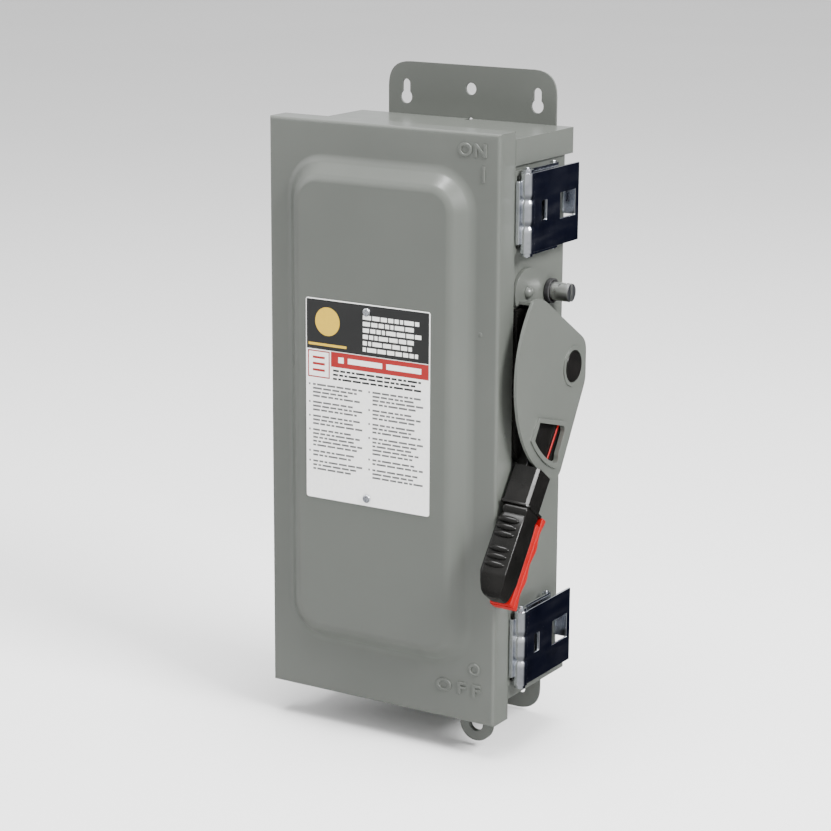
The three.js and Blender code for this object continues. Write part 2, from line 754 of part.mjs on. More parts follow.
// The window's metal is turned in at its rear edge as a tongue.
function latchLever(z) {
  const half = LATCH.height / 2;
  const outer = side + LATCH.outer;
  const inner = outer - LATCH.sheet;
  const end = latchY.lever + LATCH.length;
  const plate = block([inner, latchY.lever, z - half], [outer, end, z + half]);
  const knuckle = rod("z", LATCH.knuckle, z - half, z + half, [latchX.lever, latchY.lever], 20);
  const lip = block([side + 0.5, latchY.lever - 5.6, z - half + 5], [side + 3, latchY.lever, z + half - 5]);
  const cut = (y, width, height) =>
    block([inner - 1, y - width / 2, z - height / 2], [outer + 1, y + width / 2, z + height / 2]);
  const tongueY = end - 14 + LATCH.windowWidth / 2;
  const tongueHalf = LATCH.windowHeight / 2;
  const tongue = block(
    [wallFace + SHEET + GAP, tongueY, z - tongueHalf],
    [outer, tongueY + LATCH.sheet, z + tongueHalf],
  );
  return plate
    .add(knuckle)
    .add(lip)
    .subtract(cut(latchY.lever + 14.5, LATCH.slotWidth, LATCH.slotHeight))
    .subtract(cut(end - 14, LATCH.windowWidth, LATCH.windowHeight))
    .add(tongue)
    .subtract(rod("z", LATCH.pin + 0.1, z - 50, z + 50, [latchX.lever, latchY.lever], 16));
}

// The link is a U of sheet: a web between the pivots and an ear over each end of the lever's knuckle.
function latchLink(z) {
  const half = LATCH.height / 2 + GAP + latchEar;
  const [x0, x1] = [side + 4.6, side + 6.1];
  const clear = LATCH.knuckle + 2.5; // room for the lever's hook lip as it swings through
  let made = block([x0, latchY.lever + clear, z - half], [x1, latchY.link, z + half]);
  for (const k of [-1, 1]) {
    const [a, b] = [z + k * half, z + k * (half - latchEar)];
    made = made.add(block([x0, latchY.lever, a], [x1, latchY.link, b]));
    const at = [latchX.lever, latchY.lever];
    made = made.add(rod("z", LATCH.knuckle - 0.1, Math.min(a, b), Math.max(a, b), at, 20));
    const [c, d] = [z + k * half, z + k * (half / 3 + GAP)];
    made = made.add(rod("z", barrel, Math.min(c, d), Math.max(c, d), [latchX.link, latchY.link], 16));
  }
  const middle = half / 3 + GAP;
  made = made.subtract(
    block([side - 5, latchY.link - barrel - RUNNING, z - middle], [side + 20, latchY.link + 5, z + middle]),
  );
  for (const [x, y] of [[latchX.lever, latchY.lever], [latchX.link, latchY.link]]) {
    made = made.subtract(rod("z", LATCH.pin + 0.1, z - 50, z + 50, [x, y], 16));
  }
  return made;
}

function latchBracket(z) {
  const half = LATCH.height / 2;
  const leaf = block(
    [wallFace, latchY.link - 6, z - half + 4],
    [wallFace + SHEET, latchY.link + 14, z + half - 4],
  );
  const middle = (half + GAP + latchEar) / 3;
  const knuckle = rod("z", barrel, z - middle, z + middle, [latchX.link, latchY.link], 16);
  const web = block([wallFace, latchY.link, z - middle], [latchX.link, latchY.link + barrel, z + middle]);
  const clear = (k) => {
    const [a, b] = [z + k * (middle + GAP / 2), z + k * 50];
    return rod("z", barrel + RUNNING, Math.min(a, b), Math.max(a, b), [latchX.link, latchY.link], 16);
  };
  return leaf
    .subtract(clear(1))
    .subtract(clear(-1))
    .add(knuckle)
    .add(web)
    .subtract(rod("z", LATCH.pin + 0.1, z - 50, z + 50, [latchX.link, latchY.link], 16));
}

function latchPin(z, x, y) {
  const half = LATCH.height / 2 + GAP + latchEar + 1;
  return rod("z", LATCH.pin, z - half, z + half, [x, y], 16);
}

for (const [name, z] of Object.entries(latches)) {
  add(name + "_latch_lever", latchLever(z), zinc());
  add(name + "_latch_link", latchLink(z), zinc());
  add(name + "_latch_bracket", latchBracket(z), zinc());
  add(name + "_latch_front_pin", latchPin(z, latchX.lever, latchY.lever), zinc());
  add(name + "_latch_pivot_pin", latchPin(z, latchX.link, latchY.link), zinc());
}

// ---- Interlock stud ----

function interlockStud() {
  const end = side + STUD.height;
  const shank = rod("x", STUD.radius, box.right - 9, end, [stud.y, stud.z]);
  const slot = block(
    [end - STUD.slotDepth, stud.y - STUD.slot / 2, stud.z - 9],
    [end + 1, stud.y + STUD.slot / 2, stud.z + 9],
  );
  const cam = block([box.right - 9, stud.y - 3, stud.z - 3], [box.right - 5, stud.y + 3, stud.z + 14]);
  return shank.subtract(slot).add(cam);
}

function studRing() {
  const ring = rod("x", STUD.ring, wallFace, side + 0.8, [stud.y, stud.z]);
  return ring.subtract(rod("x", STUD.radius + RUNNING, side - 9, side + 9, [stud.y, stud.z]));
}

add("interlock_stud", interlockStud(), zinc());
add("interlock_ring", studRing(), rubber());

// ---- Switch and fuses inside ----

const baseTop = rotor.z + SWITCH.bladeReach + 62;
const baseBottom = rotor.z - SWITCH.bladeTail - FUSE.below - FUSE.length - 40;
const baseMiddle = rotor.z - SWITCH.bladeTail - 8;
const baseFront = innerBack - GAP - SWITCH.baseDepth;
const fuse = {
  y: door.front + FUSE.fromFront,
  top: rotor.z - SWITCH.bladeTail - FUSE.below,
};
fuse.bottom = fuse.top - FUSE.length;
const lugZ = { line: baseTop - 20, load: baseBottom + 18 };
const blade = { from: -SWITCH.bladeTail, to: SWITCH.bladeReach };

// A moulded base with a barrier wall between the poles.
function base(z0, z1, barrierFront) {
  const half = SWITCH.baseWidth / 2;
  const x = SWITCH.centreX;
  const slab = block([x - half, baseFront, z0], [x + half, innerBack - GAP, z1]);
  const barrier = block([x - 2, barrierFront, z0], [x + 2, baseFront, z1]);
  return slab.add(barrier);
}

// Two posts carry the crossbar's journals.
function rotorPost(x, z) {
  const r = SWITCH.barRadius;
  const arm = block([x - 3, rotor.y, z - r], [x + 3, baseFront - GAP, z + r]);
  const eye = rod("x", r, x - 3, x + 3, [rotor.y, z]);
  return arm.add(eye).subtract(rod("x", 5 + 0.1, x - 5, x + 5, [rotor.y, z]));
}

const postX = [-1, 1].map((k) => SWITCH.centreX + k * (SWITCH.baseWidth / 2 - 4));

function rotorBar() {
  const bar = rod("x", SWITCH.barRadius - 1, postX[0] + 3.5, postX[1] - 3.5, [rotor.y, rotor.z]);
  const crank = block([postX[1] + 4.5, rotor.y - 4, rotor.z - 4], [postX[1] + 8, rotor.y + 16, rotor.z + 4]);
  let made = bar.add(rod("x", 5, postX[0] - 5, postX[1] + 8, [rotor.y, rotor.z])).add(crank);
  for (const x of poles) {
    const t = SWITCH.bladeThickness / 2 + 0.2;
    const w = SWITCH.bladeWidth / 2 + 0.2;
    const cheeks = block([x - t - 3, rotor.y - 11, rotor.z - 7], [x + t + 3, rotor.y - 2, rotor.z + 7]);
    const bladeSlot = block([x - t, rotor.y - w, rotor.z - 30], [x + t, rotor.y + w, rotor.z + 30]);
    made = made.add(cheeks).subtract(turnedAboutRotor(bladeSlot));
  }
  return made;
}

// The blades rest open, leaning forwards of the jaws by the rotor's travel.
function turnedAboutRotor(made) {
  return made
    .translate([0, -rotor.y, -rotor.z])
    .rotate([SWITCH.openDegrees, 0, 0])
    .translate([0, rotor.y, rotor.z]);
}

function bladeSolid(x) {
  const t = SWITCH.bladeThickness / 2;
  const w = SWITCH.bladeWidth / 2;
  const low = [x - t, rotor.y - w, rotor.z + blade.from];
  const high = [x + t, rotor.y + w, rotor.z + blade.to];
  return turnedAboutRotor(block(low, high));
}

// A jaw: two leaves either side of the blade, joined behind it, and a strap to the lug.
function jaw(x, z0, z1, leafFront, strapTo) {
  const inner = SWITCH.bladeThickness / 2 + SWITCH.jawPlay;
  const outer = inner + SWITCH.jawSheet;
  const back = baseFront - GAP;
  const leaves = [-1, 1].map((k) => block([x + k * inner, leafFront, z0], [x + k * outer, back, z1]));
  const spine = block([x - outer, back - SWITCH.jawSheet, z0], [x + outer, back, z1]);
  const strap = block(
    [x - 5, back - SWITCH.jawSheet, Math.min(z0, strapTo)],
    [x + 5, back, Math.max(z1, strapTo)],
  );
  return leaves[0].add(leaves[1]).add(spine).add(strap);
}

function cartridgeFuse(x) {
  const body = rod("z", FUSE.radius - 0.6, fuse.bottom, fuse.top, [x, fuse.y]);
  const ends = [[fuse.bottom, fuse.bottom + FUSE.ferrule], [fuse.top - FUSE.ferrule, fuse.top]];
  return body
    .add(rod("z", FUSE.radius, ...ends[0], [x, fuse.y]))
    .add(rod("z", FUSE.radius, ...ends[1], [x, fuse.y]));
}

// A spring clip: a C that grips the ferrule, open to the front, on a foot against the base.
function fuseClip(x, z) {
  const inner = FUSE.radius + GAP;
  const outer = inner + 1;
  const half = 4.5;
  const ring = rod("z", outer, z - half, z + half, [x, fuse.y]).subtract(
    rod("z", inner, z - half - 1, z + half + 1, [x, fuse.y]),
  );
  const mouth = block([x - 5.5, fuse.y - outer - 1, z - half - 1], [x + 5.5, fuse.y - 2, z + half + 1]);
  const foot = block([x - 4, fuse.y + inner + 0.2, z - half], [x + 4, baseFront - GAP, z + half]);
  return ring.subtract(mouth).add(foot);
}

// The load jaw's strap runs down to the clip of the fuse's upper end.
function loadJaw(x, leafFront) {
  const clipZ = fuse.top - FUSE.ferrule / 2;
  const made = jaw(x, rotor.z - SWITCH.bladeTail - 2, rotor.z - 11, leafFront, clipZ - 4.5);
  return made.add(fuseClip(x, clipZ));
}

function lug(x, z) {
  const half = LUG.width / 2;
  const y1 = baseFront - GAP - SWITCH.jawSheet - GAP;
  const body = block([x - half, y1 - LUG.depth, z - LUG.height / 2], [x + half, y1, z + LUG.height / 2]);
  const wire = rod("z", LUG.wire, z - 20, z + 20, [x, y1 - LUG.wire - 2], 16);
  const screw = rod("y", LUG.screw + 0.1, y1 - LUG.depth - 1, y1 - LUG.wire - 2, [x, z], 16);
  return body.subtract(wire).subtract(screw);
}

function lugScrew(x, z) {
  const y1 = baseFront - GAP - SWITCH.jawSheet - GAP;
  const y0 = y1 - LUG.depth - 2;
  const screw = rod("y", LUG.screw, y0, y1 - LUG.depth + 5, [x, z], 16);
  return screw.subtract(block([x - 5, y0 - 1, z - 0.6], [x + 5, y0 + 1.4, z + 0.6]));
}

function mechanismBracket() {
  const x0 = postX[1] + 14;
  const x1 = box.right - SHEET - GAP;
  const z = hub.z;
  const wall = (x) => block([x, hub.y - 15, z - 20], [x + 2, innerBack - GAP, z + 20]);
  const foot = block([x0, innerBack - GAP - 2, z - 20], [x1, innerBack - GAP, z + 20]);
  const made = wall(x0).add(wall(x1 - 2)).add(foot);
  return made.subtract(rod("x", HUB.shaft + 0.15, x0 - 2, x1 + 2, [hub.y, hub.z]));
}

// The shaft turns in the bracket and the side wall, with a crank between the bracket's walls.
function operatingShaft() {
  const x = (postX[1] + 16 + box.right) / 2;
  const shaft = rod("x", HUB.shaft, postX[1] + 11, side + HANDLE.armOuter, [hub.y, hub.z]);
  const arm = block([x - 2, hub.y - 24, hub.z - 4], [x + 2, hub.y, hub.z + 4]);
  return shaft.add(arm).add(rod("x", HUB.shaft + 3, x - 4, x + 4, [hub.y, hub.z]));
}

function neutralBar() {
  const x = SWITCH.centreX;
  const z = box.bottom + 48;
  let made = block([x - 26, innerBack - 22, z - 6], [x + 26, innerBack - 10, z + 6]);
  for (const k of [-18, -6, 6, 18]) {
    made = made.subtract(rod("z", 3, z - 10, z + 10, [x + k, innerBack - 16], 12));
    made = made.subtract(rod("y", 2.6, innerBack - 30, innerBack - 16, [x + k, z], 12));
  }
  return made;
}

function neutralStandoff(x) {
  const z = box.bottom + 48;
  return block([x - 24, innerBack - 10 + GAP, z - 6], [x + 24, innerBack - GAP, z + 6]);
}

function groundLug() {
  const x = box.right - 26;
  const z = box.bottom + 34;
  const body = block([x - 6, innerBack - 14, z - 8], [x + 6, innerBack - GAP, z + 8]);
  return body.subtract(rod("z", 3.2, z - 12, z + 12, [x, innerBack - 8], 16));
}

// A clear shield stands in front of the live line lugs.
function lineShield() {
  const half = SWITCH.baseWidth / 2 - 1;
  const x = SWITCH.centreX;
  const y = baseFront - LUG.depth - 9;
  const face = block([x - half, y, baseTop - 44], [x + half, y + 1.6, baseTop - 2]);
  const legs = [x - half, x + half - 1.6].map((a) =>
    block([a, y, baseTop - 44], [a + 1.6, baseFront - GAP, baseTop - 2]));
  return face.add(legs[0]).add(legs[1]);
}

add("line_base", base(baseMiddle + GAP, baseTop, baseFront - 10), phenolic());
add("fuse_base", base(baseBottom, baseMiddle, baseFront - 10), phenolic());
["left", "right"].forEach((name, i) => add("rotor_post_" + name, rotorPost(postX[i], rotor.z), phenolic()));
add("rotor_crossbar", rotorBar(), phenolic());
poles.forEach((x, i) => {
  const n = "_" + (i + 1);
  const jawFront = rotor.y + 1;
  add("blade" + n, bladeSolid(x), copper());
  const lineZ = rotor.z + SWITCH.bladeReach;
  add("line_jaw" + n, jaw(x, lineZ - 14, lineZ + 4, jawFront - 4, lugZ.line - 8), copper());
  add("load_jaw" + n, loadJaw(x, jawFront - 4), copper());
  add("line_lug" + n, lug(x, lugZ.line), tinned());
  add("line_lug_screw" + n, lugScrew(x, lugZ.line), tinned());
  add("fuse" + n, cartridgeFuse(x), paper());
  add("fuse_clip" + n, fuseClip(x, fuse.bottom + FUSE.ferrule / 2), copper());
  add("load_lug" + n, lug(x, lugZ.load), tinned());
  add("load_lug_screw" + n, lugScrew(x, lugZ.load), tinned());
});
add("mechanism_bracket", mechanismBracket(), zinc());
add("operating_shaft", operatingShaft(), zinc());
add("neutral_bar", neutralBar(), tinned());
add("neutral_standoff", neutralStandoff(SWITCH.centreX), phenolic());
add("ground_lug", groundLug(), tinned());
add("line_shield", lineShield(), material(0xd8e0e4, 0.15, 0));

export default root;
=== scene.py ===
"""A wall-mounted heavy-duty disconnect switch in grey enamel, with its door latches, side handle,
handle guard and the switch inside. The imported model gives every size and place."""
import json
import math

import bmesh
import bpy
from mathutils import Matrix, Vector


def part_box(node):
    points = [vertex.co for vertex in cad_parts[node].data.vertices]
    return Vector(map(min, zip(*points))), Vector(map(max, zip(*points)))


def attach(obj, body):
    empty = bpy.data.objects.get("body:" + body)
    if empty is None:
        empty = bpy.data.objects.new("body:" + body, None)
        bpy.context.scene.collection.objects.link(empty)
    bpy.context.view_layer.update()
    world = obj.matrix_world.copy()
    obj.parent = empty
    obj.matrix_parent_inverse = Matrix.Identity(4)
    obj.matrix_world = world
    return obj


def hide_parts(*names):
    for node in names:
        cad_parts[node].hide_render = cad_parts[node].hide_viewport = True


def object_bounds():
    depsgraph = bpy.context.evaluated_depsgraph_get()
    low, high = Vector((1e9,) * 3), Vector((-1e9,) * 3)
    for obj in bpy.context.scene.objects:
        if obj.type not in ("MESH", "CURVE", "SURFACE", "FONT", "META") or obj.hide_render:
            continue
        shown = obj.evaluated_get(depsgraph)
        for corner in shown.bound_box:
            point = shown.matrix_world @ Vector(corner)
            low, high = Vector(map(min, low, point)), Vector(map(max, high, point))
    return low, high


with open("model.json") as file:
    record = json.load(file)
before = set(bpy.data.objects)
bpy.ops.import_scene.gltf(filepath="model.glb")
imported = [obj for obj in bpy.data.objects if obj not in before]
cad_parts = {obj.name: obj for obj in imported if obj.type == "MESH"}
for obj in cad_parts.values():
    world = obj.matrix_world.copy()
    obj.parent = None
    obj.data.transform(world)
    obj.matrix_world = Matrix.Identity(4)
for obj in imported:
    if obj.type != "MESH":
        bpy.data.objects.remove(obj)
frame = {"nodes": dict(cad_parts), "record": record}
cad_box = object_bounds()

MM = 0.001
BODY_OF = {n: body for body, nodes in frame["record"]["behaviour"]["bodies"].items() for n in nodes}

# ---- Places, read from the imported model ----

pan_low, pan_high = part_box("door_pan")
grip_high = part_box("handle_grip")[1]
cap_low, cap_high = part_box("hub_cap")
label_low, label_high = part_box("label_plate")

SHEET = 1.5 * MM
PANEL_RISE = 10 * MM
FLANGE = 18.5 * MM
door = {
    "left": pan_low.x,
    "right": pan_high.x,
    "front": pan_low.y + PANEL_RISE,
    "rear": pan_low.y + PANEL_RISE + FLANGE,
    "top": pan_high.z,
    "bottom": pan_low.z + 18.5 * MM,
}
side = door["right"]
hub = Vector((0, (cap_low.y + cap_high.y) / 2, (cap_low.z + cap_high.z) / 2))


# ---- Working on a mesh by hand ----

def clear():
    """Back to object mode with nothing selected."""
    if bpy.context.object and bpy.context.object.mode != "OBJECT":
        bpy.ops.object.mode_set(mode="OBJECT")
    bpy.ops.object.select_all(action="DESELECT")


def take(piece):
    """Select this piece alone."""
    clear()
    piece.hide_set(False)
    piece.select_set(True)
    bpy.context.view_layer.objects.active = piece


def start(kind, name, scale=(1, 1, 1), **settings):
    """A primitive at its place, with its size and turn already in its mesh."""
    clear()
    getattr(bpy.ops.mesh, "primitive_" + kind + "_add")(**settings)
    piece = bpy.context.active_object
    piece.name = piece.data.name = name
    piece.scale = scale
    bpy.ops.object.transform_apply(location=True, rotation=True, scale=True)
    return piece


def block(name, low, high):
    """A block between two corners, to be shaped further."""
    low, high = Vector(low), Vector(high)
    return start("cube", name, scale=high - low, size=1, location=(low + high) / 2)


def edit(piece, mode="EDGE"):
    """Edit mode with nothing selected."""
    take(piece)
    bpy.ops.object.mode_set(mode="EDIT")
    bpy.ops.mesh.select_mode(type=mode)
    bpy.ops.mesh.select_all(action="DESELECT")
    return bmesh.from_edit_mesh(piece.data)


def pick(piece, kind, test):
    """Select the vertices, edges or faces that pass a test, and nothing else."""
    bm = edit(piece, {"verts": "VERT", "edges": "EDGE", "faces": "FACE"}[kind])
    for item in getattr(bm, kind):
        item.select_set(bool(test(item)))
    bmesh.update_edit_mesh(piece.data)
    return bm


def middle(item):
    """The middle of an edge."""
    return (item.verts[0].co + item.verts[1].co) / 2


def near(a, b, within=1e-4):
    return abs(a - b) < within


def modify(piece, kind, **settings):
    """Add a modifier and apply it."""
    take(piece)
    modifier = piece.modifiers.new(kind.lower(), kind)
    for key, value in settings.items():
        setattr(modifier, key, value)
    bpy.ops.object.modifier_apply(modifier=modifier.name)


def smooth(piece, degrees=35):
    """Smooth shading with flats kept flat."""
    take(piece)
    bpy.ops.object.shade_smooth_by_angle(angle=math.radians(degrees))
    modify(piece, "WEIGHTED_NORMAL", keep_sharp=True, weight=80)


def round_edges(piece, width, segments=2, degrees=30):
    modify(piece, "BEVEL", width=width, segments=segments, limit_method="ANGLE",
           angle_limit=math.radians(degrees), harden_normals=False)


def finish(piece, body, slot, material, *nodes):
    """Give a piece its material and its body, and hide the nodes that it stands for."""
    clear()
    piece.data.materials.clear()
    piece.data.materials.append(material)
    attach(piece, body)
    if nodes:
        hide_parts(*nodes)
    return piece


def soften(node, material, width, segments=2, degrees=30):
    """A copy of a node with its doubles merged, its flats joined and its edges rounded."""
    piece = frame["nodes"][node].copy()
    piece.data = piece.data.copy()
    piece.parent = None
    for key in list(piece.keys()):
        del piece[key]
    piece.name = piece.data.name = node + "_finished"
    bpy.context.collection.objects.link(piece)
    edit(piece)
    bpy.ops.mesh.select_all(action="SELECT")
    bpy.ops.mesh.remove_doubles(threshold=2e-6)
    bpy.ops.mesh.dissolve_limited(angle_limit=math.radians(1))
    clear()
    round_edges(piece, width, segments, degrees)
    smooth(piece)
    slot = next(p["material_slot"] for p in frame["record"]["subparts"] if p["node"] == node)
    return finish(piece, BODY_OF[node], slot, material, node)


# ---- Materials ----

class Finish:
    """A node material: a Principled surface with patterns on Object coordinates."""

    def __init__(self, name, **surface):
        self.material = bpy.data.materials.new(name)
        self.material.use_nodes = True
        self.nodes = self.material.node_tree.nodes
        self.links = self.material.node_tree.links
        self.shader = self.nodes["Principled BSDF"]
        self.place = self.nodes.new("ShaderNodeTexCoord").outputs["Object"]
        for socket, value in surface.items():
            self.shader.inputs[socket.replace("_", " ").title().replace("Ior", "IOR")].default_value = value

    def noise(self, scale, detail=3, stretch=(1, 1, 1)):
        mapping = self.nodes.new("ShaderNodeMapping")
        mapping.inputs["Scale"].default_value = stretch
        self.links.new(self.place, mapping.inputs["Vector"])
        noise = self.nodes.new("ShaderNodeTexNoise")
        noise.inputs["Scale"].default_value = scale
        noise.inputs["Detail"].default_value = detail
        self.links.new(mapping.outputs["Vector"], noise.inputs["Vector"])
        return noise.outputs["Fac"]

    def between(self, pattern, low, high, start=0.3, end=0.7):
        """A number that runs from low to high as the pattern does from start to end."""
        ramp = self.nodes.new("ShaderNodeMapRange")
        for socket, value in {"From Min": start, "From Max": end, "To Min": low, "To Max": high}.items():
            ramp.inputs[socket].default_value = value
        self.links.new(pattern, ramp.inputs["Value"])
        return ramp.outputs["Result"]

    def colours(self, pattern, *stops):
        ramp = self.nodes.new("ShaderNodeValToRGB")
        ramp.color_ramp.elements[0].position, first = stops[0]
        ramp.color_ramp.elements[0].color = (*first, 1)
        ramp.color_ramp.elements[1].position, last = stops[-1]
        ramp.color_ramp.elements[1].color = (*last, 1)
        for position, colour in stops[1:-1]:
            ramp.color_ramp.elements.new(position).color = (*colour, 1)
        self.links.new(pattern, ramp.inputs["Fac"])
        self.links.new(ramp.outputs["Color"], self.shader.inputs["Base Color"])

    def rough(self, pattern, low, high):
        self.links.new(self.between(pattern, low, high), self.shader.inputs["Roughness"])

    def bump(self, pattern, strength, depth):
        """Bumps this many metres deep; a second call adds to the first."""
        bump = self.nodes.new("ShaderNodeBump")
        bump.inputs["Strength"].default_value = strength
        bump.inputs["Distance"].default_value = depth
        self.links.new(pattern, bump.inputs["Height"])
        if self.shader.inputs["Normal"].links:
            self.links.new(self.shader.inputs["Normal"].links[0].from_socket, bump.inputs["Normal"])
        self.links.new(bump.outputs["Normal"], self.shader.inputs["Normal"])


def grey_enamel():
    """Semi-gloss enamel over pressed steel, with the faint orange peel of a sprayed coat."""
    f = Finish("grey_enamel", roughness=0.3, coat_weight=0.35, coat_roughness=0.16)
    f.colours(f.noise(9, 4), (0.3, (0.08, 0.086, 0.077)), (0.7, (0.092, 0.098, 0.088)))
    f.rough(f.noise(45, 5), 0.29, 0.38)
    f.bump(f.noise(420, 2), 0.12, 0.00012)
    f.bump(f.noise(30, 2), 0.12, 0.0004)
    return f.material


def bright_zinc():
    """Bright zinc plate with drawing marks and a few stains."""
    f = Finish("bright_zinc", metallic=1, roughness=0.14)
    f.colours(f.noise(70, 6), (0.28, (0.5, 0.52, 0.56)), (0.5, (0.72, 0.74, 0.78)), (0.75, (0.8, 0.81, 0.82)))
    f.rough(f.noise(160, 6, (1, 0.2, 1)), 0.08, 0.24)
    f.bump(f.noise(900, 3, (1, 0.08, 1)), 0.1, 0.00005)
    f.bump(f.noise(50, 2), 0.1, 0.0003)
    return f.material


def moulded(name, low, high, roughness, grain=1500, strength=0.15, level=0.35):
    """Moulded plastic with a fine grain and slight shading of its colour."""
    f = Finish(name, specular_ior_level=level)
    f.colours(f.noise(60, 3), (0.3, low), (0.7, high))
    f.rough(f.noise(120, 4), roughness, roughness + 0.12)
    f.bump(f.noise(grain, 3), strength, 0.00008)
    return f.material


def metal(name, dark, light, low, high, grain=(1, 1, 0.1)):
    """Bare metal with a drawn grain and slight tarnish."""
    f = Finish(name, metallic=1)
    f.colours(f.noise(55, 5), (0.3, dark), (0.65, light))
    f.rough(f.noise(220, 5, grain), low, high)
    f.bump(f.noise(1200, 2, grain), 0.12, 0.00005)
    return f.material


def closed_cell_rubber():
    f = Finish("closed_cell_rubber", specular_ior_level=0.3)
    f.colours(f.noise(300, 4), (0.3, (0.012, 0.012, 0.013)), (0.7, (0.035, 0.035, 0.036)))
    f.rough(f.noise(500, 2), 0.7, 0.9)
    f.bump(f.noise(1400, 4), 0.4, 0.0003)
    return f.material


def clear_sheet():
    f = Finish("clear_polycarbonate", transmission_weight=1, ior=1.58)
    f.colours(f.noise(20, 2), (0.3, (0.9, 0.94, 0.96)), (0.7, (0.96, 0.98, 0.99)))
    f.rough(f.noise(60, 3), 0.03, 0.09)
    return f.material


def printed(name, colour):
    """Ink or film on the label."""
    f = Finish(name, coat_weight=0.3, coat_roughness=0.2)
    f.colours(f.noise(400, 3), (0.3, tuple(c * 0.94 for c in colour)), (0.7, colour))
    f.rough(f.noise(90, 3), 0.34, 0.46)
    f.bump(f.noise(700, 2), 0.05, 0.00005)
    return f.material


enamel = grey_enamel()
zinc = bright_zinc()
black = moulded("black_moulding", (0.004, 0.004, 0.0035), (0.008, 0.0075, 0.007), 0.15, level=0.2)
red = moulded("red_moulding", (0.24, 0.002, 0.002), (0.29, 0.003, 0.003), 0.3, level=0.15)
phenolic = moulded("phenolic", (0.02, 0.02, 0.022), (0.035, 0.034, 0.034), 0.42, 900, 0.3)
fibre = moulded("fibre_tube", (0.5, 0.4, 0.25), (0.6, 0.5, 0.34), 0.5, 600, 0.3)
copper = metal("bright_copper", (0.45, 0.2, 0.1), (0.72, 0.38, 0.22), 0.18, 0.34)
tinned = metal("tinned_aluminium", (0.5, 0.5, 0.48), (0.7, 0.71, 0.7), 0.25, 0.42)
rubber = closed_cell_rubber()
polycarbonate = clear_sheet()
LOOKS = {
    "paint": enamel, "zinc": zinc, "black_plastic": black, "red_plastic": red, "rubber": rubber,
    "moulded": phenolic, "copper": copper, "tinned": tinned, "fuse_body": fibre, "clear": polycarbonate,
}

# ---- Nodes whose shape is right: their edges rounded, and a finish for each ----

EDGES = {
    "enclosure_wrap": 0.9, "top_end_cap": 0.6, "bottom_end_cap": 0.6, "handle_guard": 0.45,
    "hub_cap": 0.9, "interlock_stud": 0.5,
    "interlock_ring": 0.5, "arm_wall_plate": 0.5, "operating_shaft": 0.4, "upper_latch_lever": 0.4,
    "lower_latch_lever": 0.4, "line_base": 0.8, "fuse_base": 0.8, "rotor_post_left": 0.5,
    "rotor_post_right": 0.5, "rotor_crossbar": 0.4, "mechanism_bracket": 0.4, "neutral_bar": 0.5,
    "neutral_standoff": 0.5, "ground_lug": 0.5, "line_shield": 0.3, "door_gasket": 0.6,
}
MADE_ANEW = {
    "handle_grip", "handle_red_insert", "door_pan", "label_plate", "label_screw_upper", "label_screw_lower",
}

for part in frame["record"]["subparts"]:
    node, slot = part["node"], part["material_slot"]
    if node == "interlock_stud":
        soften(node, tinned, EDGES[node] * MM, 3)
    elif node in EDGES:
        soften(node, LOOKS[slot], EDGES[node] * MM, 3)
    elif node not in MADE_ANEW:
        soften(node, LOOKS[slot], 0.2 * MM, 1)


# ---- Door ----

UPRIGHT = (math.pi / 2, 0, 0)
PANEL = {
    "left": 16 * MM,
    "right": 18 * MM,
    "top": 23.5 * MM,
    "bottom": 36 * MM,
    "corner": 25 * MM,
    "slope": 10.2 * MM,
}


def wall_rectangle(name, left, right, low, high, y):
    """A rectangle that faces the front."""
    return start("plane", name, scale=(right - left, high - low, 1), size=1, rotation=UPRIGHT,
                 location=((left + right) / 2, y, (low + high) / 2))


def join(into, *others):
    clear()
    for other in others:
        other.select_set(True)
    into.select_set(True)
    bpy.context.view_layer.objects.active = into
    bpy.ops.object.join()
    return into


def on_front(edge):
    return near(edge.verts[0].co.y, door["front"]) and near(edge.verts[1].co.y, door["front"])


def on_rim(edge):
    """Whether an edge lies on the door's outer rectangle."""
    a, b = (v.co for v in edge.verts)
    sides = ((0, door["left"]), (0, door["right"]), (2, door["top"]), (2, door["bottom"]))
    return any(near(a[axis], place) and near(b[axis], place) for axis, place in sides)


